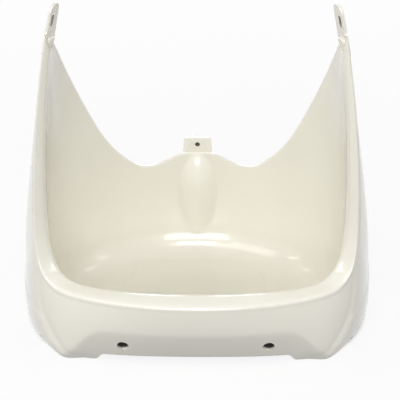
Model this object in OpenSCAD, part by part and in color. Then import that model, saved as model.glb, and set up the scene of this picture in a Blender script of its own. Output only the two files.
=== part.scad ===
// Front panel of a scooter: one injection moulded shell with a rolled lip, a deep bowl
// behind it, a skirt round the front and two tall arms that end in slotted tongues.
// It stands on its skirt. X runs across, Y runs from the front to the back and Z is up.

/* [Lip] */
// Width across the outer edges of the lip
lip_w = 348; // [320:1:370]
// Height of the lip at the middle of the front
lip_z = 83; // [74:1:100]
// Width of the lip at the middle of the front
lip_band = 28; // [22:0.5:36]
// Width of the lip on the arms
arm_band = 12.5; // [11:0.5:18]
// Width of the lip at the top of an arm
tip_band = 9; // [7:0.5:11]
// How far the lip is rolled over its two edges
lip_roll = 7; // [5:0.5:10]
// Distance from the front to where the corners of the lip start
lip_sweep = 25; // [18:1:32]
// Distance from the front to where the corners of the lip end
corner_sweep = 64; // [56:1:72]
// Height that a corner of the lip takes up
corner_z = 52; // [40:1:65]

/* [Arms] */
// Height of the shoulders, where the tongues start
arm_z = 357; // [300:1:400]
// How far back the shoulders stand
arm_y = 90; // [82:1:100]
// How far the lip leans inwards over the height of an arm
arm_in = 24; // [10:1:36]

/* [Bowl] */
// Width inside the bowl
bowl_w = 323; // [300:1:330]
// Distance from the front to the widest place of the bowl
bowl_mid = 90; // [84:1:98]
// Distance from the front to the back wall
bowl_back = 206; // [180:1:230]
// Height of the floor of the bowl
floor_z = 20; // [14:1:30]
// Radius between the floor and the walls
floor_r = 38; // [24:1:42]
// Roundness of the bowl's outline at the front
front_n = 2.4; // [2:0.1:3]
// Roundness of the bowl's outline at the back
back_n = 2.1; // [2:0.1:3]
// How far the pad stands out of the floor
pad_z = 1.5; // [0.8:0.1:2.5]
// Width of the pad at its back
pad_w = 140; // [100:1:170]
// Distance from the front to the front edge of the pad
pad_front = 80; // [74:1:110]

/* [Top edge] */
// Height of the back wall at its middle
back_z = 153; // [145:1:175]
// Height of the back wall at the lowest place of each scallop
scallop_z = 138; // [128:1:144]
// Distance of each scallop from the middle
scallop_x = 57; // [48:1:66]
// Height where the top edge turns up into an arm
rise_z = 198; // [180:1:220]
// Distance of that place from the middle
rise_x = 110; // [100:1:116]

/* [Blister] */
// Width of the blister in the back wall
blister_w = 46; // [34:1:56]
// Height of the lower end of the blister
blister_low = 42; // [36:1:60]
// Height of the upper end of the blister
blister_top = 152; // [120:1:160]
// How far the blister stands out of the wall
blister_out = 12; // [5:0.5:16]

/* [Skirt] */
// Width across the skirt where it stands
base_w = 403; // [388:1:430]
// Distance from the front to the rear end of each flank
base_d = 150; // [130:1:175]
// Distance from the middle to where the skirt turns into a corner
corner_x = 148; // [140:1:156]
// Distance from the front to where the skirt turns into a corner
corner_y = 18; // [12:1:22]
// How far the front of the skirt bulges
front_belly = 2.5; // [1:0.5:5]
// How far the flanks bulge
flank_belly = 5; // [2:0.5:8]
// How far the recessed band leans back
band_y = 12; // [6:1:16]
// Height where the recessed band starts
band_z = 46; // [38:1:54]
// Distance from the middle to where the band starts to die out
band_x = 98; // [88:1:104]
// Length over which the band dies out
band_fade = 60; // [40:1:70]
// Height of the gap under the skirt between the feet
gate_z = 9; // [5:0.5:12]
// Distance between the feet
gate_w = 204; // [180:1:216]
// How far the foot of each flank stands out past its crease
step_out = 2.2; // [0.5:0.1:3]
// Height over which it stands out only half as far
step_z = 46; // [30:1:60]
// How far the toe of each corner rolls under
toe_in = 4; // [1:0.5:6]
// Height of that roll
toe_z = 18; // [12:1:26]
// Wall of the moulding
wall = 2.6; // [2:0.1:3.2]

/* [Fixings] */
// Distance between the screw wells of the front
well_span = 158; // [130:1:176]
// Height of the screw wells
well_z = 26; // [24:0.5:29]
// Diameter of a screw well
well_d = 12; // [10:0.5:13]
// Depth of a screw well
well_depth = 13; // [8:0.5:16]
// Diameter of the screw hole at the bottom of a well
screw_d = 5.5; // [4:0.1:6.5]
// How far a well is turned down from level
well_tilt = 10; // [8:1:14]
// Width of the middle tab
tab_w = 31; // [24:1:36]
// Height of the middle tab over the back wall
tab_z = 19; // [15:1:26]
// Thickness of the middle tab
tab_t = 3.2; // [2.5:0.1:4]
// How far the boss round its hole stands out at the back
tab_boss = 8; // [4:0.5:12]
// Diameter of the hole in the tab
tab_hole = 5.5; // [4:0.1:7]
// Width of a side notch in the edge of the skirt
notch_w = 7; // [5:0.5:9]
// Thickness of the webs that hold the lip from behind
web_t = 2; // [1.5:0.1:2.5]

/* [Tongues] */
// Height of a tongue over the shoulder
tongue_z = 28; // [22:1:36]
// How far a tongue leans inwards
tongue_lean = 12; // [6:1:16]
// Width of a tongue
tongue_w = 21; // [18:1:24]
// Thickness of a tongue
tongue_t = 3; // [2.4:0.1:3.6]
// Width of the slot in a tongue
slot_w = 6; // [4.5:0.1:8]
// Length of the slot in a tongue
slot_z = 13; // [10:0.5:16]

/* [Mesh] */
// Stations over the front, a corner and an arm of the lip
stations = [12, 11, 10];
// Rows over the skirt, the lip and the bowl
rows = [11, 8, 24];

/* [Hidden] */
$fn = 48;
half_lip = lip_w / 2;
half_bowl = bowl_w / 2;
half_base = base_w / 2;
lip_edge_z = lip_z - lip_roll;
// The bowl ends this high, and an arm's lip runs on to its shoulder
tip_z = arm_z - 22;
tip_x = half_bowl - arm_in + 7;
// Roundness of the lip's outer outline, and the distance to its widest place
outer_n = 2.05;
lip_mid = corner_sweep + 4;
web_x = [-100, -36, 36, 100];
// Place of a side notch along its flank, from 0 at the corner to 1 at the rear
notch_s = 0.3;
// A fold this high lets the feet down from the gate
fold = 8;
// Place of the crease between corner and flank, as t at the foot and at the lip, and its width
crease_t = [0.83, 1.55, 0.22];
well_pad = 2 * wall;
// Turn of a tongue in plan, and how far its slot lies off its middle
tongue_turn = 109;
slot_x = -2.5;
tab_y = bowl_back + 1;
tab_hole_z = back_z + tab_z - 8.5;
// The origin stands under the middle of the whole panel
back_end = tab_y + 1 + tab_t + tab_boss;
centre_y = (back_end - front_belly) / 2;

// Cubic from one value and slope to the next, for s from 0 to 1
function hermite(a, ma, b, mb, s) =
    a * (2 * s ^ 3 - 3 * s ^ 2 + 1) + ma * (s ^ 3 - 2 * s ^ 2 + s)
    + b * (3 * s ^ 2 - 2 * s ^ 3) + mb * (s ^ 3 - s ^ 2);
function bezier(a, b, c, s) = a * (1 - s) ^ 2 + b * 2 * s * (1 - s) + c * s ^ 2;
function mix(a, b, s) = a + (b - a) * s;
function clamp(s) = min(1, max(0, s));
function smooth(s) = clamp(s) ^ 2 * (3 - 2 * clamp(s));

// Every guide curve has a parameter t: 0 at the middle, 1 to 2 over the corner, 3 at the shoulder.
// Each runs over the right half, and the left half is its mirror image.

// Half width of an outline that is round at the front and straight from y = middle on
function plan_x(half, front, middle, n, y) =
    y >= middle ? half : half * max(0, 1 - ((middle - y) / (middle - front)) ^ n) ^ (1 / n);
function sweep(front, y1, y2, y3, n, t) =
    t <= 1 ? front + (y1 - front) * t ^ n
    : t <= 2 ? hermite(y1, n * (y1 - front), y2, y3 - y2, t - 1)
    : y2 + (y3 - y2) * (t - 2);
function lip_height(low, high, t) =
    t <= 1 ? low
    : t <= 2 ? low + corner_z * (1 - cos(90 * (t - 1)))
    : hermite(low + corner_z, corner_z * PI / 2, high, 1.15 * (high - low - corner_z), t - 2);
function lean(z, amount) =
    amount * clamp((z - lip_z - corner_z) / (arm_z - lip_z - corner_z)) ^ 1.8;

// Outer edge of the lip, where the skirt starts
function lip_outer(t) =
    let (y = sweep(0, lip_sweep, corner_sweep, arm_y, outer_n, t),
         z = lip_height(lip_edge_z, arm_z, t))
    [plan_x(half_lip, 0, lip_mid, outer_n, y) - lean(z, arm_in), y, z];
// How far back that edge lies at a distance x from the middle
function lip_front(x) = lip_mid * (1 - (1 - (abs(x) / half_lip) ^ outer_n) ^ (1 / outer_n));

// The wall of the bowl laid flat: p runs across and q runs back from the middle of the floor
function bowl_reach(c) =
    let (deep = c[1] < 0 ? bowl_mid - lip_band : bowl_back - bowl_mid,
         n = c[1] < 0 ? front_n : back_n)
    ((abs(c[0]) / half_bowl) ^ n + (abs(c[1]) / deep) ^ n) ^ (-1 / n);
function bowl_lean(z) = lean(z, arm_in - (arm_band - tip_band) - 2);
function blister(x, z) =
    let (high = blister_top - blister_low,
         r = norm([2 * x / blister_w, 2 * (z - blister_low) / high - 1]))
    blister_out * max(0, 1 - r ^ 2) ^ 1.2;
function bowl(p, q) =
    let (rho = norm([p, q]),
         c = rho < 0.001 ? [0, 1] : [p, q] / rho,
         reach = bowl_reach(c),
         over = max(0, rho - reach + floor_r),
         turn = min(90, over / floor_r * 180 / PI),
         r = over > 0 ? reach - floor_r + floor_r * sin(turn) : rho,
         z = floor_z + floor_r * (1 - cos(turn)) + max(0, over - floor_r * PI / 2),
         x = c[0] * r * (1 - bowl_lean(z) / half_bowl))
    [x, bowl_mid + c[1] * r - (c[1] > 0.5 ? blister(x, z) : 0), z];
// Place on the flat wall of a point given by its direction in plan and its height
function laid_flat(d, z) =
    let (c = d / norm(d), reach = bowl_reach(c),
         drop = floor_z + floor_r - z,
         rise = drop > 0 ? acos(drop / floor_r) * PI / 180 * floor_r : floor_r * PI / 2 - drop)
    c * (reach - floor_r + rise);
function bowl_side(y) =
    y < bowl_mid ? plan_x(half_bowl, lip_band, bowl_mid, front_n, y)
    : half_bowl * (1 - ((y - bowl_mid) / (bowl_back - bowl_mid)) ^ back_n) ^ (1 / back_n);

// Mouth of the bowl, along the inner edge of the lip
function mouth(t) =
    let (y = sweep(lip_band, lip_sweep + 17, corner_sweep + 12, arm_y + 5, front_n, t))
    laid_flat([bowl_side(y), y - bowl_mid], lip_height(lip_edge_z, tip_z, t));

// Top edge of the bowl: over the middle, down to the scallop and up to the shoulder
function top_x(t) =
    t <= 1 ? scallop_x * t
    : t <= 2 ? hermite(scallop_x, scallop_x, rise_x, 36, t - 1)
    : hermite(rise_x, 36, tip_x, 9, t - 2);
function top_z(t) =
    t <= 1 ? mix(back_z, scallop_z, smooth((t - 0.15) / 0.8))
    : t <= 2 ? hermite(scallop_z, 0, rise_z, 84, t - 1)
    : hermite(rise_z, 92, tip_z, 150, t - 2);
function top_edge(t) =
    let (z = top_z(t), x = top_x(t) / (1 - bowl_lean(z) / half_bowl),
         y = (bowl_back - bowl_mid) * max(0, 1 - (x / half_bowl) ^ back_n) ^ (1 / back_n))
    laid_flat([x, y], z);

// Foot of the skirt in plan: a flat front, a corner and a flank
corner_at = [corner_x, corner_y];
flank_pull = [half_base - 8, 60];
flank_end = [half_base, base_d];
front_pull = [corner_at[0] - corner_at[1] * (flank_pull[0] - corner_at[0])
              / (flank_pull[1] - corner_at[1]), 0];
function front_s(x) =
    let (a = corner_at[0] - 2 * front_pull[0], b = 2 * front_pull[0])
    (sqrt(b ^ 2 + 4 * a * x) - b) / (2 * a);
function foot(t) =
    t <= 1 ? bezier([0, 0], front_pull, corner_at, front_s(corner_at[0] * t))
    : bezier(corner_at, flank_pull, flank_end, t - 1);
function foot_z(x) = gate_z * (1 - smooth((abs(x) - gate_w / 2) / fold));
function rear_edge(s) =
    let (y = hermite(base_d, 90, arm_y + 12, -10, s), z = hermite(0, 0, arm_z - 12, 360, s))
    [half_base - (half_base - half_lip) * smooth(z / 260) - lean(z, arm_in), y, z];
function skirt_edge(t) =
    t > 2 ? rear_edge(t - 2) : let (f = foot(t)) [f[0], f[1], foot_z(f[0])];
// The recessed band along the front leans back towards the ground and dies out at the feet
function band_top(x) = band_z * (1 - smooth((abs(x) - band_x) / band_fade));
function recess(x, z) =
    let (high = band_top(x))
    high < 1 ? 0 : band_y * high / band_z * clamp((high - z) / high);
// Each flank stands out past a crease that climbs from the foot to the lip
function flank_out(t, s, z) =
    step_out * smooth((t - mix(crease_t[0], crease_t[1], s)) / crease_t[2])
    * mix(0.5, 1, smooth((step_z - z) / fold)) * (1 - smooth(t - 2));
// The toe of each corner rolls under where it meets the ground
function toe(t, z) =
    toe_in * clamp(1 - z / toe_z) ^ 2 * smooth((t - 0.7) / 0.2) * (1 - smooth((t - 1.4) / 0.5));
// One row of the skirt follows the top of the band
band_share = round(0.45 * rows[0]) / rows[0];
function skirt_s(t, s) =
    let (x = skirt_edge(min(t, 1))[0], low = foot_z(x),
         c = max(0.25, (band_top(x) - low) / (lip_edge_z - low)),
         share = mix(c, band_share, smooth(t - 0.9)))
    s < band_share ? s / band_share * share : mix(share, 1, (s - band_share) / (1 - band_share));

function skirt(t, row) =
    let (s = skirt_s(t, row), p = mix(skirt_edge(t), lip_outer(t), s),
         way = 90 * clamp((t - 0.5) / 1.2),
         belly = mix(front_belly, flank_belly, smooth(t - 0.6)) * (1 - smooth(t - 2)) * 4 * s * (1 - s),
         out = belly + flank_out(t, s, p[2]) - toe(t, p[2]))
    p + [sin(way) * out, recess(p[0], p[2]) - cos(way) * out, 0];
// Section of the lip: place across it and height of its roll, for s from 0 to 1
function across(s) = 0.5 - 0.5 * sign(cos(180 * s)) * abs(cos(180 * s)) ^ 0.6;
function rolled(s) = abs(sin(180 * s)) ^ 0.6;
function lip(t, s) =
    let (a = lip_outer(t), m = mouth(t), b = bowl(m[0], m[1]), face = smooth(t - 1))
    mix(a, b, across(s)) + lip_roll * rolled(s) * [0, -face, 1 - face];
// Few rows cross the flat floor and most of them climb the back wall
function wall_share(s) = s < 0.29 ? s : s < 0.38 ? 0.29 + (s - 0.29) * 2.9 : 1 - (1 - s) * 0.724;
function wall_point(t, s) =
    let (m = mouth(t), f = mix(m, top_edge(t), wall_share(s))) bowl(f[0], f[1]);

function skin(t, k) =
    k < rows[0] ? skirt(t, k / rows[0])
    : k < rows[0] + rows[1] ? lip(t, (k - rows[0]) / rows[1])
    : wall_point(t, (k - rows[0] - rows[1]) / rows[2]);

marks = concat(
    [for (i = [0 : stations[0] - 1]) i / stations[0]],
    [for (i = [0 : stations[1] - 1]) 1 + i / stations[1]],
    [for (i = [0 : stations[2]]) 2 + i / stations[2]]);
depth = rows[0] + rows[1] + rows[2];
half_grid = [for (t = marks) [for (k = [0 : depth]) skin(t, k)]];
grid = concat(
    [for (i = [len(marks) - 1 : -1 : 1]) [for (p = half_grid[i]) [-p[0], p[1], p[2]]]],
    half_grid);

function normal(g, i, k) =
    let (a = g[max(i - 1, 0)][k], b = g[min(i + 1, len(g) - 1)][k],
         c = g[i][max(k - 1, 0)], d = g[i][min(k + 1, len(g[i]) - 1)],
         n = cross(b - a, d - c))
    n / norm(n);

// The skin and its inside, a wall apart, closed along the four edges of the grid
module shell() {
    n = len(grid);
    m = depth + 1;
    size = n * m;
    seen = [for (i = [0 : n - 1]) for (k = [0 : m - 1]) grid[i][k]];
    hidden = [for (i = [0 : n - 1]) for (k = [0 : m - 1])
        let (p = grid[i][k] - wall * normal(grid, i, k)) [p[0], p[1], max(0, p[2])]];
    skins = [for (i = [0 : n - 2]) for (k = [0 : m - 2])
        each let (a = i * m + k, b = a + m, c = b + 1, d = a + 1)
        [[a, d, b], [b, d, c], [a + size, b + size, d + size], [b + size, c + size, d + size]]];
    rims = [for (i = [0 : n - 2]) for (k = [0, m - 1])
        each let (a = i * m + k, b = a + m)
        k == 0 ? [[a, b, b + size], [a, b + size, a + size]]
        : [[a, b + size, b], [a, a + size, b + size]]];
    ends = [for (i = [0, n - 1]) for (k = [0 : m - 2])
        each let (a = i * m + k, b = a + 1)
        i == 0 ? [[a, b + size, b], [a, a + size, b + size]]
        : [[a, b, b + size], [a, b + size, a + size]]];
    polyhedron(points = concat(seen, hidden), faces = concat(skins, rims, ends), convexity = 10);
}

// Outline with round corners, given as [x, y, radius] and turning left all the way
function rounded(pts) =
    [for (i = [0 : len(pts) - 1])
        let (p = pts[i], a = pts[(i + len(pts) - 1) % len(pts)], b = pts[(i + 1) % len(pts)],
             u = [a[0] - p[0], a[1] - p[1]], v = [b[0] - p[0], b[1] - p[1]],
             half = acos(u * v / norm(u) / norm(v)) / 2,
             way = u / norm(u) + v / norm(v),
             mid = [p[0], p[1]] + way / norm(way) * p[2] / sin(half),
             from = atan2(-u[0], u[1]) + 180)
        each [for (j = [0 : 5]) mid + p[2] * [cos(from + (180 - 2 * half) * j / 5),
                                              sin(from + (180 - 2 * half) * j / 5)]]];

// Shallow raised pad on the floor, which dies into the radius at its back
module pad() {
    back = bowl_back - floor_r + sqrt(2 * floor_r * pad_z - pad_z ^ 2) + 0.3;
    translate([0, 0, floor_z - 0.4])
        linear_extrude(0.4 + pad_z)
            polygon(rounded([[-98, pad_front, 12], [98, pad_front, 12],
                             [pad_w / 2, back, 14], [-pad_w / 2, back, 14]]));
}

// Frame of a screw well: its axis runs from the middle of its mouth into the panel
function well_y() =
    let (x = well_span / 2, f = bezier([0, 0], front_pull, corner_at, front_s(x)),
         s = (well_z - gate_z) / (lip_edge_z - gate_z))
    mix(f[1], lip_front(x), s) + recess(x, well_z) - front_belly * 4 * s * (1 - s);
module at_wells() {
    for (side = [-1, 1])
        translate([side * well_span / 2, well_y(), well_z])
            rotate([-90 + well_tilt, 0, 0])
                children();
}
module wells() {
    translate([0, 0, wall / 2])
        cylinder(h = well_depth + wall / 2, d = well_d + well_pad);
}
module well_cuts() {
    translate([0, 0, -8])
        cylinder(h = 8 + well_depth, d = well_d);
    cylinder(h = well_depth + wall + 4, d = screw_d);
}

// Upright web between the skirt and the front wall of the bowl, under the lip
module web(x) {
    front = lip_front(x) + wall / 2;
    back = bowl_mid - (bowl_mid - lip_band) * (1 - (abs(x) / half_bowl) ^ front_n) ^ (1 / front_n)
           - wall / 4;
    translate([x - web_t / 2, 0, 0])
        rotate([90, 0, 90])
            linear_extrude(web_t)
                polygon(concat(
                    [[front, band_z + 2], [back, band_z + 2]],
                    [for (k = [8 : -1 : 0])
                        [mix(front, back, across(k / 8)),
                         lip_edge_z + (lip_roll - wall / 2) * rolled(k / 8)]]));
}

// Middle tab: a plate behind the top of the back wall with a boss round its hole
module tab() {
    translate([0, tab_y + tab_t, 0])
        rotate([90, 0, 0])
            linear_extrude(tab_t)
                polygon(rounded([[-tab_w / 2 - 2, back_z - 12, 2], [tab_w / 2 + 2, back_z - 12, 2],
                                 [tab_w / 2, back_z + tab_z, 3], [-tab_w / 2, back_z + tab_z, 3]]));
    translate([0, tab_y + 1, tab_hole_z])
        rotate([-90, 0, 0])
            cylinder(h = tab_t + tab_boss, d = tab_hole + 6);
}

// Frame of the right tongue: X along its width towards the back, Z up
module at_tongues() {
    for (side = [0, 1])
        mirror([side, 0, 0])
            translate([tip_x + 5.4, arm_y + 7.3, tip_z])
                rotate([0, -tongue_lean, 0])
                    rotate([0, 0, tongue_turn])
                        children();
}
module tongue() {
    top = arm_z + tongue_z - tip_z;
    translate([0, tongue_t / 2, 0])
        rotate([90, 0, 0])
            linear_extrude(tongue_t)
                polygon(rounded([[-tongue_w / 2, -4, 1], [tongue_w / 2, -8, 1],
                                 [tongue_w / 2 - 1, top, 8], [-tongue_w / 2 + 1, top, 9]]));
    translate([-tongue_w / 2 + 3, -1, 9])
        cube([tongue_w - 10, tongue_t / 2 + 4, 5]);
}
module tongue_slot() {
    low = arm_z + 4 - tip_z;
    for (z = [low + slot_w / 2, low + slot_z - slot_w / 2])
        translate([slot_x, 10, z])
            rotate([90, 0, 0])
                cylinder(h = 20, d = slot_w);
    translate([slot_x - slot_w / 2, -10, low + slot_w / 2])
        cube([slot_w, 20, slot_z - slot_w]);
}

// Open notch in the edge of each flank, square to the edge
module notches() {
    at = bezier(corner_at, flank_pull, flank_end, notch_s);
    way = (flank_pull - corner_at) * (1 - notch_s) + (flank_end - flank_pull) * notch_s;
    for (side = [0, 1])
        mirror([side, 0, 0])
            translate([at[0], at[1], 0])
                rotate([0, 0, atan2(way[1], way[0]) - 90]) {
                    translate([-12, 0, notch_w / 2 + 1.5])
                        rotate([0, 90, 0])
                            cylinder(h = 24, d = notch_w);
                    translate([-12, -notch_w / 2, -1])
                        cube([24, notch_w, notch_w / 2 + 2.5]);
                }
}

module front_panel() {
    color("ivory") translate([0, -centre_y, 0]) difference() {
        union() {
            shell();
            pad();
            at_wells() wells();
            for (x = web_x) web(x);
            tab();
            at_tongues() tongue();
        }
        at_wells() well_cuts();
        translate([0, tab_y - 5, tab_hole_z])
            rotate([-90, 0, 0])
                cylinder(h = tab_t + tab_boss + 10, d = tab_hole);
        at_tongues() tongue_slot();
        notches();
    }
}

front_panel();
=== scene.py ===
import math

import bpy
import numpy as np
from mathutils import Matrix


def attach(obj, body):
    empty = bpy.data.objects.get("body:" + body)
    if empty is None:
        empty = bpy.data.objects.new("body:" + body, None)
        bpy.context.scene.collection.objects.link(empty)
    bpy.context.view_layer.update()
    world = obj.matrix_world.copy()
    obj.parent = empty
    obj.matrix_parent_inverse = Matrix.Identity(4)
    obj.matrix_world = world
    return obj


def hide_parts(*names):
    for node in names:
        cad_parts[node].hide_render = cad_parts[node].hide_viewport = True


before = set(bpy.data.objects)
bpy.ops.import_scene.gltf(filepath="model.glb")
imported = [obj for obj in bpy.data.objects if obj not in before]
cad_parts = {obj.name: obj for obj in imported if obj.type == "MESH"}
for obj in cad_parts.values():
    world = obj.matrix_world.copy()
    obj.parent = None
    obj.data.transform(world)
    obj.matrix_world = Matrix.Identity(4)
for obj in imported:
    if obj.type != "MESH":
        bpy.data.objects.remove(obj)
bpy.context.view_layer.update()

# ---- The moulding: skirt, rolled lip, bowl and arms
# One injection moulding in ivory plastic with a wall of 2.6 mm. Its seen skin is one sheet that
# climbs the skirt, rolls over the lip, drops into the bowl, crosses its floor and climbs its back.
# The steel mould gives it a gloss face, and its edges are trimmed square and lightly rounded.

MM = 0.001
LIP_W, LIP_Z, LIP_BAND, ARM_BAND, TIP_BAND = 348.0, 83.0, 28.0, 12.5, 9.0
LIP_ROLL, LIP_SWEEP, CORNER_SWEEP, CORNER_Z = 7.0, 25.0, 64.0, 52.0
ARM_Z, ARM_Y, ARM_IN = 357.0, 90.0, 24.0
BOWL_W, BOWL_MID, BOWL_BACK, FLOOR_Z, FLOOR_R = 323.0, 90.0, 206.0, 20.0, 38.0
FRONT_N, BACK_N, OUTER_N = 2.4, 2.1, 2.05
PAD_Z, PAD_W, PAD_FRONT, PAD_FRONT_W, PAD_BACK = 1.5, 140.0, 80.0, 196.0, 178.0
BACK_Z, SCALLOP_Z, SCALLOP_X, RISE_Z, RISE_X = 153.0, 138.0, 57.0, 198.0, 110.0
BLISTER_W, BLISTER_LOW, BLISTER_TOP, BLISTER_OUT = 46.0, 42.0, 152.0, 12.0
BASE_W, BASE_D, CORNER_X, CORNER_Y = 403.0, 150.0, 148.0, 18.0
FRONT_BELLY, FLANK_BELLY = 2.5, 5.0
BAND_Y, BAND_Z, BAND_X, BAND_FADE = 12.0, 46.0, 98.0, 60.0
GATE_Z, GATE_W, STEP_OUT, STEP_Z, FOLD, WALL = 9.0, 204.0, 2.2, 46.0, 8.0, 2.6
TOE_IN, TOE_Z, CREASE_T = 4.0, 18.0, (0.83, 1.55, 0.22)
GROOVE, GROOVE_AT, GROOVE_T = 0.5, 0.03, 0.045
HALF_LIP, HALF_BOWL, HALF_BASE = LIP_W / 2, BOWL_W / 2, BASE_W / 2
LIP_EDGE_Z = LIP_Z - LIP_ROLL
LIP_MID = CORNER_SWEEP + 4
TIP_Z, TIP_X = ARM_Z - 22, HALF_BOWL - ARM_IN + 7
TAB_T, TAB_BOSS = 3.2, 8.0
CENTRE_Y = (BOWL_BACK + 2 + TAB_T + TAB_BOSS - FRONT_BELLY) / 2


def mix(a, b, s):
    """a where s is 0 and b where s is 1."""
    return a + (b - a) * s


def smooth(s):
    """Cubic step from 0 to 1 with level ends."""
    s = np.clip(s, 0, 1)
    return s * s * (3 - 2 * s)


def hermite(a, ma, b, mb, s):
    """Cubic from value a with slope ma to value b with slope mb."""
    return (a * (2 * s**3 - 3 * s**2 + 1) + ma * (s**3 - 2 * s**2 + s)
            + b * (3 * s**2 - 2 * s**3) + mb * (s**3 - s**2))


def bezier(a, b, c, s):
    """Quadratic curve from a to c that is pulled towards b."""
    return a * (1 - s)**2 + b * 2 * s * (1 - s) + c * s**2


def by_part(t, front, corner, arm):
    """Takes a guide curve's three stretches: front to t = 1, corner to t = 2, then arm."""
    return np.where(t <= 1, front(np.clip(t, 0, 1)),
                    np.where(t <= 2, corner(np.clip(t - 1, 0, 1)), arm(np.clip(t - 2, 0, 1))))


def sweep(front, y1, y2, y3, n, t):
    """Distance from the front: a power curve, then a cubic, then a straight line."""
    return by_part(t, lambda s: front + (y1 - front) * s**n,
                   lambda s: hermite(y1, n * (y1 - front), y2, y3 - y2, s),
                   lambda s: y2 + (y3 - y2) * s)


def lip_height(low, high, t):
    """Level over the front, a quarter of a wave up the corner, then a cubic up the arm."""
    return by_part(t, lambda s: low + 0 * s,
                   lambda s: low + CORNER_Z * (1 - np.cos(math.pi / 2 * s)),
                   lambda s: hermite(low + CORNER_Z, CORNER_Z * math.pi / 2, high,
                                     1.15 * (high - low - CORNER_Z), s))


def lean(z, amount):
    """How far an arm has leaned inwards at height z: a power of the height over the corner."""
    low = LIP_Z + CORNER_Z
    return amount * np.clip((z - low) / (ARM_Z - low), 0, 1)**1.8


def plan_x(half, front, middle, n, y):
    """Half width of a superellipse whose front is at y = front and widest place at y = middle."""
    u = np.clip((middle - y) / (middle - front), 0, 1)
    return half * (1 - u**n)**(1 / n)


def lip_outer(t):
    """Outer edge of the lip: swept back in plan, raised and leaned inwards with t."""
    y = sweep(0, LIP_SWEEP, CORNER_SWEEP, ARM_Y, OUTER_N, t)
    z = lip_height(LIP_EDGE_Z, ARM_Z, t)
    return np.stack([plan_x(HALF_LIP, 0, LIP_MID, OUTER_N, y) - lean(z, ARM_IN), y, z], -1)


def bowl_reach(cx, cy):
    """Distance from the floor's middle to the wall in a direction: a superellipse in plan."""
    deep = np.where(cy < 0, BOWL_MID - LIP_BAND, BOWL_BACK - BOWL_MID)
    n = np.where(cy < 0, FRONT_N, BACK_N)
    return ((np.abs(cx) / HALF_BOWL)**n + (np.abs(cy) / deep)**n)**(-1 / n)


def bowl(p, q):
    """The bowl rolled up from a flat sheet: flat floor, a quarter turn of radius, upright wall.

    The blister and the floor's pad are added as soft bumps.
    """
    rho = np.maximum(np.hypot(p, q), 1e-6)
    cx, cy = p / rho, q / rho
    reach = bowl_reach(cx, cy)
    over = np.maximum(0, rho - reach + FLOOR_R)
    turn = np.minimum(math.pi / 2, over / FLOOR_R)
    r = np.where(over > 0, reach - FLOOR_R + FLOOR_R * np.sin(turn), rho)
    z = (FLOOR_Z + FLOOR_R * (1 - np.cos(turn))
         + np.maximum(0, over - FLOOR_R * math.pi / 2))
    tilt = lean(z, ARM_IN - (ARM_BAND - TIP_BAND) - 2)
    x = cx * r * (1 - tilt / HALF_BOWL)
    high = BLISTER_TOP - BLISTER_LOW
    round_off = np.hypot(2 * x / BLISTER_W, 2 * (z - BLISTER_LOW) / high - 1)
    bump = BLISTER_OUT * np.maximum(0, 1 - round_off**2)**1.2
    y = BOWL_MID + cy * r - np.where(cy > 0.5, bump, 0)
    side = mix(PAD_FRONT_W, PAD_W, (y - PAD_FRONT) / (PAD_BACK - PAD_FRONT)) / 2
    pad = (smooth((side - np.abs(x)) / 4) * smooth((y - PAD_FRONT) / 4)
           * smooth((PAD_BACK + 1 - y) / 3))
    z = np.maximum(z, FLOOR_Z + PAD_Z * pad)
    return np.stack([x, y, z], -1)


def laid_flat(dx, dy, z):
    """Place on the flat sheet of a wall point that is given by its direction and its height."""
    size = np.maximum(np.hypot(dx, dy), 1e-9)
    cx, cy = dx / size, dy / size
    drop = FLOOR_Z + FLOOR_R - z
    rise = np.where(drop > 0, np.arccos(np.clip(drop / FLOOR_R, -1, 1)) * FLOOR_R,
                    FLOOR_R * math.pi / 2 - drop)
    run = bowl_reach(cx, cy) - FLOOR_R + rise
    return cx * run, cy * run


def mouth(t):
    """Inner edge of the lip, on the flat sheet."""
    y = sweep(LIP_BAND, LIP_SWEEP + 17, CORNER_SWEEP + 12, ARM_Y + 5, FRONT_N, t)
    behind = np.clip((y - BOWL_MID) / (BOWL_BACK - BOWL_MID), 0, 1)
    x = np.where(y < BOWL_MID, plan_x(HALF_BOWL, LIP_BAND, BOWL_MID, FRONT_N, y),
                 HALF_BOWL * (1 - behind**BACK_N)**(1 / BACK_N))
    return laid_flat(x, y - BOWL_MID, lip_height(LIP_EDGE_Z, TIP_Z, t))


def top_edge(t):
    """Top edge of the bowl, on the flat sheet: a scallop, then a long rise to the shoulder."""
    x = by_part(t, lambda s: SCALLOP_X * s, lambda s: hermite(SCALLOP_X, SCALLOP_X, RISE_X, 36, s),
                lambda s: hermite(RISE_X, 36, TIP_X, 9, s))
    z = by_part(t, lambda s: mix(BACK_Z, SCALLOP_Z, smooth((s - 0.15) / 0.8)),
                lambda s: hermite(SCALLOP_Z, 0, RISE_Z, 84, s),
                lambda s: hermite(RISE_Z, 92, TIP_Z, 150, s))
    x = x / (1 - lean(z, ARM_IN - (ARM_BAND - TIP_BAND) - 2) / HALF_BOWL)
    y = (BOWL_BACK - BOWL_MID) * np.clip(1 - (x / HALF_BOWL)**BACK_N, 0, 1)**(1 / BACK_N)
    return laid_flat(x, y, z)


FLANK_PULL = (HALF_BASE - 8, 60.0)
BAND_SHARE = 5 / 11
FRONT_PULL = CORNER_X - CORNER_Y * (FLANK_PULL[0] - CORNER_X) / (FLANK_PULL[1] - CORNER_Y)


def front_s(x):
    """Parameter at which the foot's front curve reaches x: the root of a quadratic."""
    a, b = CORNER_X - 2 * FRONT_PULL, 2 * FRONT_PULL
    return (np.sqrt(b * b + 4 * a * x) - b) / (2 * a)


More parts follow.
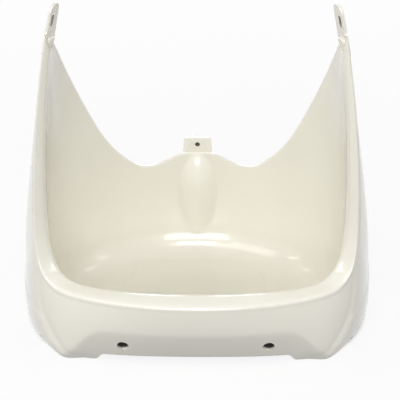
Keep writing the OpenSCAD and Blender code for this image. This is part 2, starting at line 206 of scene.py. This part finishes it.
def skirt_edge(t):
    """Lower edge of the skirt: a flat front with a gate, a corner, a flank, then its rear edge."""
    u = front_s(CORNER_X * np.clip(t, 0, 1))
    s = np.clip(t - 1, 0, 1)
    x = np.where(t <= 1, bezier(0, FRONT_PULL, CORNER_X, u),
                 bezier(CORNER_X, FLANK_PULL[0], HALF_BASE, s))
    y = np.where(t <= 1, bezier(0, 0, CORNER_Y, u), bezier(CORNER_Y, FLANK_PULL[1], BASE_D, s))
    z = GATE_Z * (1 - smooth((np.abs(x) - GATE_W / 2) / FOLD))
    s = np.clip(t - 2, 0, 1)
    rear_y, rear_z = hermite(BASE_D, 90, ARM_Y + 12, -10, s), hermite(0, 0, ARM_Z - 12, 360, s)
    rear_x = HALF_BASE - (HALF_BASE - HALF_LIP) * smooth(rear_z / 260) - lean(rear_z, ARM_IN)
    return np.stack([np.where(t > 2, rear_x, x), np.where(t > 2, rear_y, y),
                     np.where(t > 2, rear_z, z)], -1)


def band_top(x):
    """Height of the top edge of the recessed band, which dies out at the feet."""
    return BAND_Z * (1 - smooth((np.abs(x) - BAND_X) / BAND_FADE))


def recess(x, z):
    """How far the band along the front leans back: a line from its top edge, soft at the fold."""
    high = np.maximum(band_top(x), 1e-3)
    u = (high - z) / high
    soft = 0.07
    eased = 0.5 * (u + np.sqrt(u * u + soft * soft)) - 0.5 * soft * soft / (1 + np.abs(u))
    return np.where(high < 1, 0, BAND_Y * high / BAND_Z * np.clip(eased, 0, 1))


def flank_out(t, s, z):
    """How far a flank stands out past its crease, which climbs from the foot to the lip.

    A cubic step, whole near the ground and half as high above it, less a bell-shaped groove that
    is pressed in along the crease itself.
    """
    crease = mix(CREASE_T[0], CREASE_T[1], s)
    groove = GROOVE * np.exp(-((t - crease - GROOVE_AT) / GROOVE_T)**2) * smooth(12 * (1 - s))
    height = STEP_OUT * mix(0.5, 1, smooth((STEP_Z - z) / FOLD))
    step = height * smooth((t - crease) / (0.75 * CREASE_T[2]))
    return (step - groove) * (1 - smooth(t - 2))


def toe(t, z):
    """How far the toe of a corner rolls under where it meets the ground: a square of the height."""
    return (TOE_IN * np.clip(1 - z / TOE_Z, 0, 1)**2 * smooth((t - 0.7) / 0.2)
            * (1 - smooth((t - 1.4) / 0.5)))


def skirt_share(t, s):
    """Spreads the rows of the skirt so that one of them follows the top of the band."""
    edge = skirt_edge(np.minimum(t, 1))
    share = np.maximum(0.25, (band_top(edge[..., 0]) - edge[..., 2]) / (LIP_EDGE_Z - edge[..., 2]))
    share = mix(share, BAND_SHARE, smooth(t - 0.9))
    return np.where(s < BAND_SHARE, s / BAND_SHARE * share,
                    mix(share, 1, (s - BAND_SHARE) / (1 - BAND_SHARE)))


def skirt(t, row):
    """Skirt from its lower edge to the lip: a straight line, bellied and stepped at the crease."""
    s = skirt_share(t, row)
    p = mix(skirt_edge(t), lip_outer(t), s[..., None])
    way = math.pi / 2 * np.clip((t - 0.5) / 1.2, 0, 1)
    belly = mix(FRONT_BELLY, FLANK_BELLY, smooth(t - 0.6)) * (1 - smooth(t - 2)) * 4 * s * (1 - s)
    out = belly + flank_out(t, s, p[..., 2]) - toe(t, p[..., 2])
    lean_back = recess(p[..., 0], p[..., 2])
    p[..., 0] += np.sin(way) * out
    p[..., 1] += lean_back - np.cos(way) * out
    return p


def lip(t, s):
    """The roll: a superellipse arch from skirt to bowl, turned to face forwards on the arms."""
    turn = math.pi * s
    share = 0.5 - 0.5 * np.sign(np.cos(turn)) * np.abs(np.cos(turn))**0.6
    rise = LIP_ROLL * np.abs(np.sin(turn))**0.6
    face = smooth(t - 1)
    p = mix(lip_outer(t), bowl(*mouth(t)), share[..., None])
    p[..., 1] -= rise * face
    p[..., 2] += rise * (1 - face)
    return p


def bowl_wall(t, s):
    """The bowl from the lip to its top edge, along straight lines on the flat sheet."""
    share = np.where(s < 0.29, s, np.where(s < 0.38, 0.29 + (s - 0.29) * 2.9, 1 - (1 - s) * 0.724))
    (mp, mq), (ep, eq) = mouth(t), top_edge(t)
    return bowl(mix(mp, ep, share), mix(mq, eq, share))


ROWS = (55, 26, 96)
MARKS = np.concatenate([np.arange(44) / 44, 1 + np.arange(48) / 48, 2 + np.arange(31) / 30])


def skin_grid():
    """The seen skin as a grid of points: the right half by its guide curves, then mirrored."""
    parts = []
    for rows, made in zip(ROWS, (skirt, lip, bowl_wall)):
        last = made is bowl_wall
        s = np.arange(rows + int(last)) / rows
        t, s = np.meshgrid(MARKS, s, indexing="ij")
        parts.append(made(t, s))
    half = np.concatenate(parts, axis=1)
    return np.concatenate([half[:0:-1] * [-1, 1, 1], half], axis=0)


def shell_mesh(name):
    """Closes the seen skin with a hidden one that lies a wall behind it along its normals."""
    grid = skin_grid()
    along = np.empty_like(grid)
    along[1:-1] = grid[2:] - grid[:-2]
    along[0], along[-1] = grid[1] - grid[0], grid[-1] - grid[-2]
    across = np.empty_like(grid)
    across[:, 1:-1] = grid[:, 2:] - grid[:, :-2]
    across[:, 0], across[:, -1] = grid[:, 1] - grid[:, 0], grid[:, -1] - grid[:, -2]
    normal = np.cross(along, across)
    normal /= np.linalg.norm(normal, axis=-1, keepdims=True)
    hidden = grid - WALL * normal
    hidden[..., 2] = np.maximum(hidden[..., 2], 0)
    n, m = grid.shape[:2]
    size = n * m
    at = np.arange(size).reshape(n, m)
    a, b, c, d = at[:-1, :-1], at[1:, :-1], at[1:, 1:], at[:-1, 1:]
    quads = [np.stack([a, b, c, d], -1).reshape(-1, 4),
             np.stack([a, d, c, b], -1).reshape(-1, 4) + size]
    for a, b in ((at[1:, 0], at[:-1, 0]), (at[:-1, -1], at[1:, -1]),
                 (at[0, :-1], at[0, 1:]), (at[-1, 1:], at[-1, :-1])):
        quads.append(np.stack([a, b, b + size, a + size], -1))
    points = np.concatenate([grid.reshape(-1, 3), hidden.reshape(-1, 3)])
    return new_mesh(name, points, np.concatenate(quads))


def new_mesh(name, points, faces):
    """A mesh object from points in mm from the panel's front, moved to the frame's origin."""
    mesh = bpy.data.meshes.new(name)
    mesh.from_pydata(((points - [0, CENTRE_Y, 0]) * MM).tolist(), [],
                     [list(map(int, f)) for f in faces])
    mesh.update()
    obj = bpy.data.objects.new(name, mesh)
    bpy.context.scene.collection.objects.link(obj)
    return obj


def applied(obj):
    """Gives an object the mesh that its modifiers make, and takes the modifiers away."""
    ready = obj.evaluated_get(bpy.context.evaluated_depsgraph_get())
    mesh = bpy.data.meshes.new_from_object(ready)
    obj.modifiers.clear()
    obj.data = mesh
    return obj


panel = shell_mesh("panel")
trim = panel.modifiers.new("trimmed_edges", "BEVEL")
trim.width, trim.segments = 0.6 * MM, 2
trim.limit_method, trim.angle_limit = "ANGLE", math.radians(50)
applied(panel)

# ---- Screw wells, webs, middle tab and tongues
# All of them come out of the same mould. The wells are cups that take a pan head screw each, the
# webs stiffen the lip from below, the tab has a boss round its hole, and the tongues have a slot.

WELL_SPAN, WELL_Z, WELL_D, WELL_DEPTH, SCREW_D, WELL_TILT = 158.0, 26.0, 12.0, 13.0, 5.5, 10.0
WEB_X, WEB_T = (-100.0, -36.0, 36.0, 100.0), 2.0
TAB_W, TAB_Z, TAB_HOLE, TAB_ROOT, BOSS_WALL = 31.0, 19.0, 5.5, 12.0, 3.0
TAB_Y, TAB_HOLE_Z = BOWL_BACK + 1, BACK_Z + TAB_Z - 8.5
TONGUE_Z, TONGUE_W, TONGUE_T, TONGUE_OUT, TONGUE_BACK = 28.0, 21.0, 3.0, 5.4, 7.3
TONGUE_LEAN, TONGUE_TURN = 12.0, 109.0
SLOT_X, SLOT_W, SLOT_Z, SLOT_LOW = -2.5, 6.0, 13.0, ARM_Z + 4 - TIP_Z
NOTCH_W, NOTCH_Z, NOTCH_S = 7.0, 8.5, 0.3
UNION, CUT = [], []


def turned(*steps):
    """One 4 by 4 matrix from steps of ("x" | "y" | "z", degrees) or ("to", x, y, z)."""
    m = Matrix.Identity(4)
    for kind, *v in steps:
        m = m @ (Matrix.Translation(v) if kind == "to"
                 else Matrix.Rotation(math.radians(v[0]), 4, kind.upper()))
    return m


def placed(points, m, side=1):
    """Points moved by a matrix, and mirrored to the left where side is -1."""
    m = np.array(m)
    return (points @ m[:3, :3].T + m[:3, 3]) * [side, 1, 1]


def prism(name, outline, low, high, m, side=1, ease=0.5):
    """An outline in X and Y carried from z = low to high, drawn in by ease at both ends."""
    outline = np.array(outline, float)
    middle = outline.mean(0)
    reach = np.linalg.norm(outline - middle, axis=1, keepdims=True)
    rings = []
    for z, inset in ((low, ease), (low + ease, 0), (high - ease, 0), (high, ease)):
        ring = middle + (outline - middle) * (1 - inset / reach)
        rings.append(np.column_stack([ring, np.full(len(ring), z)]))
    return loft(name, rings, m, side)


def loft(name, rings, m, side=1):
    """Closes a stack of rings, each anticlockwise seen from above, with a cap at both ends."""
    k, n = len(rings), len(rings[0])
    at = np.arange(k * n).reshape(k, n)
    nxt = np.roll(at, -1, axis=1)
    faces = np.stack([at[:-1], nxt[:-1], nxt[1:], at[1:]], -1).reshape(-1, 4).tolist()
    faces += [at[0, ::-1].tolist(), at[-1].tolist()]
    if side < 0:
        faces = [f[::-1] for f in faces]
    return new_mesh(name, placed(np.concatenate(rings), m, side), faces)


def lathe(name, profile, m, side=1, steps=64):
    """Rings of the given radii at the given heights, as (radius, z) pairs from low to high."""
    a = np.arange(steps) * 2 * math.pi / steps
    rings = [np.column_stack([r * np.cos(a), r * np.sin(a), np.full(steps, z)]) for r, z in profile]
    return loft(name, rings, m, side)


def round_corners(points, steps=8):
    """Outline with an arc of the given radius at each corner (x, y, radius), turning left."""
    out = []
    for i, (x, y, r) in enumerate(points):
        p = np.array([x, y])
        u, v = (np.array(points[j][:2]) - p for j in (i - 1, (i + 1) % len(points)))
        u, v = u / np.linalg.norm(u), v / np.linalg.norm(v)
        half = math.acos(float(u @ v)) / 2
        centre = p + (u + v) / np.linalg.norm(u + v) * r / math.sin(half)
        start = math.atan2(-u[0], u[1]) + math.pi
        turn = start + (math.pi - 2 * half) * np.arange(steps + 1) / steps
        out.extend(np.column_stack([centre[0] + r * np.cos(turn), centre[1] + r * np.sin(turn)]))
    return np.array(out)


def lip_front(x):
    """How far back the lip's outer edge lies at a distance x from the middle."""
    return LIP_MID * (1 - (1 - (abs(x) / HALF_LIP)**OUTER_N)**(1 / OUTER_N))


well_x = WELL_SPAN / 2
rise = (WELL_Z - GATE_Z) / (LIP_EDGE_Z - GATE_Z)
well_y = (mix(bezier(0, 0, CORNER_Y, front_s(well_x)), lip_front(well_x), rise)
          + float(recess(np.array(well_x), np.array(WELL_Z))) - FRONT_BELLY * 4 * rise * (1 - rise))
well_r = WELL_D / 2
well_at = turned(("to", well_x, well_y, WELL_Z), ("x", -90 + WELL_TILT))
for side in (-1, 1):
    UNION.append(lathe("well_cup", [(well_r + WALL, WALL / 2), (well_r + WALL, WELL_DEPTH + WALL)],
                       well_at, side))
    CUT.append(lathe("well_bore", [(well_r + 1, -9), (well_r + 0.7, -0.4), (well_r + 0.1, 0.6),
                                   (well_r - 0.1, WELL_DEPTH - 1), (well_r - 1, WELL_DEPTH)],
                     well_at, side))
    CUT.append(lathe("screw_hole", [(SCREW_D / 2, 1), (SCREW_D / 2, WELL_DEPTH + WALL + 4)],
                     well_at, side, 40))

for x in WEB_X:
    front = lip_front(x) + WALL / 2
    back = (BOWL_MID - (BOWL_MID - LIP_BAND) * (1 - (abs(x) / HALF_BOWL)**FRONT_N)**(1 / FRONT_N)
            - WALL / 4)
    turn = math.pi * np.arange(17) / 16
    share = 0.5 + 0.5 * np.sign(np.cos(turn)) * np.abs(np.cos(turn))**0.6
    top = LIP_EDGE_Z + (LIP_ROLL - WALL / 2) * np.abs(np.sin(turn))**0.6
    edge = np.concatenate([[[front, BAND_Z + 2], [back, BAND_Z + 2]],
                           np.column_stack([mix(front, back, share), top])])
    rings = [np.column_stack([np.full(len(edge), x + w), edge]) for w in (-WEB_T / 2, WEB_T / 2)]
    UNION.append(loft("web", rings, Matrix.Identity(4)))

plate = round_corners([(-TAB_W / 2 - 2, BACK_Z - TAB_ROOT, 2),
                       (TAB_W / 2 + 2, BACK_Z - TAB_ROOT, 2),
                       (TAB_W / 2, BACK_Z + TAB_Z, 3), (-TAB_W / 2, BACK_Z + TAB_Z, 3)])
UNION.append(prism("tab_plate", plate, 0, TAB_T, turned(("to", 0, TAB_Y + TAB_T, 0), ("x", 90))))
tab_at = turned(("to", 0, TAB_Y + 1, TAB_HOLE_Z), ("x", -90))
boss_r, boss_z = TAB_HOLE / 2 + BOSS_WALL, TAB_T + TAB_BOSS
UNION.append(lathe("tab_boss", [(boss_r, 0), (boss_r, boss_z - 0.5), (boss_r - 0.5, boss_z)],
                   tab_at))
CUT.append(lathe("tab_bore", [(TAB_HOLE / 2, -6), (TAB_HOLE / 2, 14)], tab_at, 1, 40))

tongue_top, slot_top = ARM_Z + TONGUE_Z - TIP_Z, SLOT_LOW + SLOT_Z
slot_left, slot_right, slot_r = SLOT_X - SLOT_W / 2, SLOT_X + SLOT_W / 2, SLOT_W / 2 - 0.01
face = round_corners([(-TONGUE_W / 2, -4, 1), (TONGUE_W / 2, -8, 1),
                      (TONGUE_W / 2 - 1, tongue_top, 8), (-TONGUE_W / 2 + 1, tongue_top, 9)], 12)
slot = round_corners([(slot_left, SLOT_LOW, slot_r), (slot_right, SLOT_LOW, slot_r),
                      (slot_right, slot_top, slot_r), (slot_left, slot_top, slot_r)], 12)
ledge = round_corners([(-TONGUE_W / 2 + 3, 9, 0.8), (TONGUE_W / 2 - 7, 9, 0.8),
                       (TONGUE_W / 2 - 7, 14, 0.8), (-TONGUE_W / 2 + 3, 14, 0.8)], 4)
tongue_at = turned(("to", TIP_X + TONGUE_OUT, ARM_Y + TONGUE_BACK, TIP_Z), ("y", -TONGUE_LEAN),
                   ("z", TONGUE_TURN), ("x", 90))
for side in (-1, 1):
    UNION.append(prism("tongue", face, -TONGUE_T / 2, TONGUE_T / 2, tongue_at, side))
    UNION.append(prism("tongue_ledge", ledge, -TONGUE_T / 2 - 3, 1, tongue_at, side))
    CUT.append(prism("tongue_slot", slot, -10, 10, tongue_at, side, 0.01))

way = ((FLANK_PULL[0] - CORNER_X) * (1 - NOTCH_S) + (HALF_BASE - FLANK_PULL[0]) * NOTCH_S,
       (FLANK_PULL[1] - CORNER_Y) * (1 - NOTCH_S) + (BASE_D - FLANK_PULL[1]) * NOTCH_S)
arch = round_corners([(-NOTCH_W / 2, -1, 0.1), (NOTCH_W / 2, -1, 0.1),
                      (NOTCH_W / 2, NOTCH_Z, NOTCH_W / 2 - 0.01),
                      (-NOTCH_W / 2, NOTCH_Z, NOTCH_W / 2 - 0.01)], 12)
notch_at = turned(("to", bezier(CORNER_X, FLANK_PULL[0], HALF_BASE, NOTCH_S),
                   bezier(CORNER_Y, FLANK_PULL[1], BASE_D, NOTCH_S), 0),
                  ("z", math.degrees(math.atan2(way[1], way[0]))), ("x", 90))
for side in (-1, 1):
    CUT.append(prism("side_notch", arch, -12, 12, notch_at, side, 0.01))


def joined(obj, others, operation):
    """Adds others to a solid, or takes them away, and removes them."""
    for other in others:
        step = obj.modifiers.new(other.name, "BOOLEAN")
        step.operation, step.solver, step.object = operation, "MANIFOLD", other
    applied(obj)
    for other in others:
        bpy.data.objects.remove(other)


joined(panel, UNION, "UNION")
joined(panel, CUT, "DIFFERENCE")
panel.data.shade_smooth()
panel.data.set_sharp_from_angle(angle=math.radians(38))

# ---- The finish: gloss ivory plastic
# The colour goes through the whole wall. The mould's polish gives the gloss, and cooling leaves a
# faint waviness and orange peel. Handling pales the outer edges. Painted shade darkens the surface
# where it is hollow, and dark painted shade fills the wells, the tab's hole, slots and notches.

FULL_BULGE = 600.0


def bulge_for_wear_and_shade(obj):
    """Stores how strongly the surface bulges at each point, 0 where it is flat.

    How far the normals part along an edge, over its length, averaged over each point's edges and
    then smoothed three times.
    """
    mesh = obj.data
    n = len(mesh.vertices)
    co, no = np.empty(n * 3), np.empty(n * 3)
    mesh.vertices.foreach_get("co", co)
    mesh.vertex_normals.foreach_get("vector", no)
    co, no = co.reshape(-1, 3), no.reshape(-1, 3)
    ends = np.empty(len(mesh.edges) * 2, int)
    mesh.edges.foreach_get("vertices", ends)
    a, b = ends.reshape(-1, 2).T
    step = co[b] - co[a]
    bulge = ((no[b] - no[a]) * step).sum(1) / np.maximum((step**2).sum(1), 1e-9)
    count = np.bincount(a, minlength=n) + np.bincount(b, minlength=n)
    value = (np.bincount(a, bulge, n) + np.bincount(b, bulge, n)) / np.maximum(count, 1)
    value = np.clip(value / FULL_BULGE, -1, 1)
    for _ in range(3):
        value = 0.4 * value + 0.6 * ((np.bincount(a, value[b], n) + np.bincount(b, value[a], n))
                                     / np.maximum(count, 1))
    layer = mesh.attributes.new("bulge", "FLOAT", "POINT")
    layer.data.foreach_set("value", value.astype(np.float32))


# the bulge drives both the rubbed, paler edges and the painted shade in the hollows
bulge_for_wear_and_shade(panel)


class Maths:
    """A shader socket on which + - * /, power and abs work, each as a Math node."""

    def __init__(self, tree, socket):
        self.tree, self.socket = tree, socket

    def with_(self, operation, *values):
        node = self.tree.nodes.new("ShaderNodeMath")
        node.operation = operation
        for place, value in zip(node.inputs, values):
            if isinstance(value, Maths):
                self.tree.links.new(value.socket, place)
            else:
                place.default_value = value
        return Maths(self.tree, node.outputs[0])

    def __add__(self, o): return self.with_("ADD", self, o)
    def __radd__(self, o): return self.with_("ADD", o, self)
    def __sub__(self, o): return self.with_("SUBTRACT", self, o)
    def __rsub__(self, o): return self.with_("SUBTRACT", o, self)
    def __mul__(self, o): return self.with_("MULTIPLY", self, o)
    def __rmul__(self, o): return self.with_("MULTIPLY", o, self)
    def __truediv__(self, o): return self.with_("DIVIDE", self, o)
    def __pow__(self, o): return self.with_("POWER", self, o)
    def __abs__(self): return self.with_("ABSOLUTE", self)

    def at_least(self, low):
        return self.with_("MAXIMUM", self, low)

    def clamped(self):
        return self.with_("MINIMUM", self.at_least(0.0), 1.0)


class Finish:
    """A material that starts from a Principled shader and takes its nodes one by one."""

    def __init__(self, name):
        self.material = bpy.data.materials.new(name)
        self.material.use_nodes = True
        self.tree = self.material.node_tree
        self.shader = self.tree.nodes["Principled BSDF"]

    def node(self, kind, settings=(), **sockets):
        """Adds a node, sets its own settings first, then the values or links of its sockets."""
        node = self.tree.nodes.new(kind)
        for key, value in dict(settings).items():
            setattr(node, key, value)
        for key, value in sockets.items():
            self.put(node.inputs[key.replace("_", " ")], value)
        return node

    def put(self, place, value):
        if isinstance(value, Maths):
            value = value.socket
        if isinstance(value, bpy.types.NodeSocket):
            self.tree.links.new(value, place)
        else:
            place.default_value = value

    def maths(self, socket):
        return Maths(self.tree, socket)

    def blend(self, factor, a, b):
        """Colour a where the factor is 0 and b where it is 1."""
        node = self.tree.nodes.new("ShaderNodeMix")
        node.data_type = "RGBA"
        self.put(node.inputs[0], factor)
        self.put(node.inputs[6], a)
        self.put(node.inputs[7], b)
        return node.outputs[2]


def ivory(r, g, b):
    """Linear colour from one that is given as the eye sees it, 0 to 255."""
    return tuple(((v / 255 + 0.055) / 1.055)**2.4 for v in (r, g, b)) + (1.0,)


gloss = Finish("gloss_ivory")
place = gloss.node("ShaderNodeTexCoord").outputs["Object"]
cloud = gloss.maths(gloss.node("ShaderNodeTexNoise", Vector=place, Scale=7.0, Detail=3.0,
                               Roughness=0.5).outputs["Fac"])
fine = gloss.maths(gloss.node("ShaderNodeTexNoise", Vector=place, Scale=60.0, Detail=4.0,
                              Roughness=0.6).outputs["Fac"])
peel = gloss.maths(gloss.node("ShaderNodeTexNoise", Vector=place, Scale=420.0, Detail=2.0,
                              Roughness=0.5).outputs["Fac"])
bulge = gloss.maths(gloss.node("ShaderNodeAttribute", dict(attribute_name="bulge")).outputs["Fac"])
worn = (bulge * 2.4 * (0.45 + fine)).clamped()
# painted shade: darker and yellower where the surface is hollow
hollow_shade = (bulge * -2.0 * (0.5 + cloud)).clamped()
colour = gloss.blend((cloud * 2.2 - 0.6).clamped(), ivory(241, 238, 225), ivory(245, 242, 230))
colour = gloss.blend(hollow_shade * 0.25, colour, ivory(230, 223, 208))
colour = gloss.blend(worn * 0.4, colour, ivory(248, 245, 238))
split = gloss.node("ShaderNodeSeparateXYZ", Vector=place)
# the place in mm, counted from the panel's front and taken to the right half
px, py, pz = (gloss.maths(split.outputs[i]) / MM for i in range(3))
px, py = abs(px), py + CENTRE_Y


def in_axes(m):
    """The place in the axes of a piece that m has put there, for the left and the right alike."""
    x, y, z = px - m[0][3], py - m[1][3], pz - m[2][3]
    return [x * m[0][k] + y * m[1][k] + z * m[2][k] for k in range(3)]


def in_bore(m, low, high, radius):
    """1 at the wall of a round bore along the piece's Z, from low to high, with soft ends."""
    x, y, run = in_axes(m)
    off = (x * x + y * y)**0.5
    return (((run - low) * 0.4).clamped() * ((high - run) * 4.0).clamped()
            * ((radius + 0.35 - off) * 5.0).clamped())


# painted shade: dark in the wells and the tab's hole, where only shade falls; it also makes them
# matte
hole_shade = (in_bore(well_at, 2.0, WELL_DEPTH + WALL + 0.3, well_r)
        + in_bore(tab_at, -1.6, TAB_T + TAB_BOSS + 0.2, TAB_HOLE / 2))
# painted shade on a slot's inner wall: near the slot's middle line and inside the tongue's
# thickness
across, up, through = in_axes(tongue_at)
across = across - SLOT_X
beyond = (abs(up - (SLOT_LOW + SLOT_Z / 2)) - (SLOT_Z - SLOT_W) / 2).at_least(0.0)
off = (across * across + beyond * beyond)**0.5
slot_shade = (((SLOT_W / 2 + 0.45 - off) * 5.0).clamped()
             * ((TONGUE_T / 2 - 0.1 - abs(through)) * 5.0).clamped())
hole_shade = (hole_shade + slot_shade * 0.75).clamped()
# painted shade on a notch's cut wall and its rim: near its middle line and the centre of its arch
across, up, through = in_axes(notch_at)
beyond = (up - (NOTCH_Z - NOTCH_W / 2)).at_least(0.0)
off = (across * across + beyond * beyond)**0.5
notch_shade = (((NOTCH_W / 2 + 0.9 - off) * 3.0).clamped()
              * ((8.0 - abs(through)) * 2.0).clamped())
hole_shade = (hole_shade + notch_shade * 0.9).clamped()
hole_shade = (hole_shade * (0.85 + cloud * 0.3)).clamped()
# the painted shade's dark colour
colour = gloss.blend(hole_shade, colour, ivory(64, 62, 59))
gloss.put(gloss.shader.inputs["Base Color"], colour)
gloss.put(gloss.shader.inputs["Roughness"],
          (0.15 + fine * 0.08 + cloud * 0.05 + worn * 0.12 + hole_shade * 0.5).clamped())
gloss.put(gloss.shader.inputs["Coat Weight"], (0.7 - worn * 0.3 - hole_shade * 0.7).clamped())
gloss.shader.inputs["Coat Roughness"].default_value = 0.04
gloss.shader.inputs["IOR"].default_value = 1.5
waves = gloss.node("ShaderNodeBump", Height=cloud + fine * 0.05, Strength=0.12,
                   Distance=0.003)
skin = gloss.node("ShaderNodeBump", Height=peel, Strength=0.05, Distance=0.0004,
                  Normal=waves.outputs["Normal"])
gloss.put(gloss.shader.inputs["Normal"], skin.outputs["Normal"])
panel.data.materials.clear()
panel.data.materials.append(gloss.material)

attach(panel, "root")
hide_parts("front_panel")

# ---- The studio: floor, soft lamps and the camera
# A white floor that keeps the panel's faint shadow, six soft lamps that stand round it at 2.3 m,
# and a white room. The camera looks down by 32 degrees from 1.29 m.

# in metres: the floor's half width and how far it lies under the panel, its own glow's share, the
# distance from which that grows and how fast, then the half axes, the middle, the inner side and
# the rear end of the place at the feet that keeps the whole shadow
FLOOR_REACH, FLOOR_DROP = 6.0, 0.0004
FLOOR_GLOW, FADE_FROM, FADE = 0.85, 0.3, 0.7
FEET_X, FEET_Y, FEET_MID, FEET_IN, FEET_END = 0.199, 0.146, 0.04, 0.12, 0.05
LAMP_AWAY, LAMP_AIM = 2.3, np.array([0, 0, 0.15])


def white_floor():
    """A wide sheet that is seen white where it is lit and keeps part of the shadow.

    Far out it is all white. Under the feet, inside a superellipse of the skirt's size, it keeps
    the whole shadow.
    """
    r, z = FLOOR_REACH, -FLOOR_DROP
    mesh = bpy.data.meshes.new("floor")
    mesh.from_pydata([(-r, -r, z), (r, -r, z), (r, r, z), (-r, r, z)], [], [(0, 1, 2, 3)])
    obj = bpy.data.objects.new("floor", mesh)
    bpy.context.scene.collection.objects.link(obj)
    paper = Finish("floor_paper")
    paper.shader.inputs["Roughness"].default_value = 0.9
    rays = paper.node("ShaderNodeLightPath")
    seen = (paper.maths(rays.outputs["Is Camera Ray"]) + paper.maths(rays.outputs["Is Glossy Ray"])
            + paper.maths(rays.outputs["Is Transmission Ray"])).clamped()
    glow = paper.node("ShaderNodeEmission", Color=(1, 1, 1, 1), Strength=1.0)
    paper.put(paper.shader.inputs["Base Color"],
              paper.blend(seen, (0.04, 0.04, 0.04, 1), (0.9, 0.9, 0.9, 1)))
    spread = paper.node("ShaderNodeSeparateXYZ",
                        Vector=paper.node("ShaderNodeTexCoord").outputs["Object"])
    fx, fy = abs(paper.maths(spread.outputs[0])), paper.maths(spread.outputs[1])
    far = (((fx * fx + fy * fy)**0.5 - FADE_FROM) * FADE).clamped()
    round_off = (fx / FEET_X)**3.0 + (abs(fy - FEET_MID) / FEET_Y)**3.0
    under = (((1.0 - round_off) * 12.0).clamped() * ((FEET_END - fy) * 20.0).clamped()
             * ((fx - FEET_IN) * 40.0).clamped())
    both = paper.node("ShaderNodeMixShader",
                      Fac=seen * (FLOOR_GLOW + far * (1 - FLOOR_GLOW)) * (1.0 - under))
    paper.tree.links.new(paper.shader.outputs[0], both.inputs[1])
    paper.tree.links.new(glow.outputs[0], both.inputs[2])
    paper.tree.links.new(both.outputs[0], paper.tree.nodes["Material Output"].inputs["Surface"])
    mesh.materials.append(paper.material)


def lamp(name, azimuth, elevation, size, watts):
    """A square area lamp that looks at the panel, at angles in degrees counted from its front."""
    data = bpy.data.lights.new(name, "AREA")
    data.shape, data.size, data.energy = "SQUARE", size, watts
    obj = bpy.data.objects.new(name, data)
    a, e = math.radians(azimuth), math.radians(elevation)
    away = np.array([math.sin(a) * math.cos(e), -math.cos(a) * math.cos(e), math.sin(e)])
    right = np.cross([0, 0, 1], away)
    right /= np.linalg.norm(right)
    obj.matrix_world = Matrix([[*row, p] for row, p in zip(
        np.column_stack([right, np.cross(away, right), away]), LAMP_AIM + LAMP_AWAY * away)]
        + [[0, 0, 0, 1]])
    bpy.context.scene.collection.objects.link(obj)


white_floor()
lamp("front_low", 0, 20, 1.1, 20)
lamp("front_high", 0, 50, 0.45, 10)
lamp("front_left", -35, 50, 1.1, 8)
lamp("left", -85, 30, 1.1, 18)
lamp("right", 85, 36, 1.1, 12.5)
lamp("behind", 180, 10, 1.1, 24)

room = bpy.data.worlds.new("room")
bpy.context.scene.world = room
room.use_nodes = True
nodes, links = room.node_tree.nodes, room.node_tree.links
back = nodes["Background"]
back.inputs["Strength"].default_value = 0.15
back.inputs["Color"].default_value = (1, 1, 1, 1)
white = nodes.new("ShaderNodeBackground")
white.inputs["Strength"].default_value = 1.0
white.inputs["Color"].default_value = (1, 1, 1, 1)
path, either = nodes.new("ShaderNodeLightPath"), nodes.new("ShaderNodeMixShader")
seen = Maths(room.node_tree, path.outputs["Is Camera Ray"])
seen = (seen + Maths(room.node_tree, path.outputs["Is Glossy Ray"])
        + Maths(room.node_tree, path.outputs["Is Transmission Ray"])).clamped()
links.new(seen.socket, either.inputs[0])
links.new(back.outputs[0], either.inputs[1])
links.new(white.outputs[0], either.inputs[2])
links.new(either.outputs[0], nodes["World Output"].inputs["Surface"])

VIEW_FROM, VIEW_DOWN, VIEW_TURN, LENS = 1.290, math.radians(32), math.radians(0.5), 106.9
VIEW_AIM = (0.0039, -0.01175, 0.1564)
camera_data = bpy.data.cameras.new("camera")
camera_data.lens, camera_data.sensor_width = LENS, 36.0
camera_data.dof.use_dof = False
camera = bpy.data.objects.new("camera", camera_data)
camera.rotation_euler = (math.pi / 2 - VIEW_DOWN, 0, VIEW_TURN)
camera.location = (VIEW_AIM[0] + VIEW_FROM * math.cos(VIEW_DOWN) * math.sin(VIEW_TURN),
                   VIEW_AIM[1] - VIEW_FROM * math.cos(VIEW_DOWN) * math.cos(VIEW_TURN),
                   VIEW_AIM[2] + VIEW_FROM * math.sin(VIEW_DOWN))
bpy.context.scene.collection.objects.link(camera)
bpy.context.scene.camera = camera
bpy.context.scene.view_settings.view_transform = "Standard"
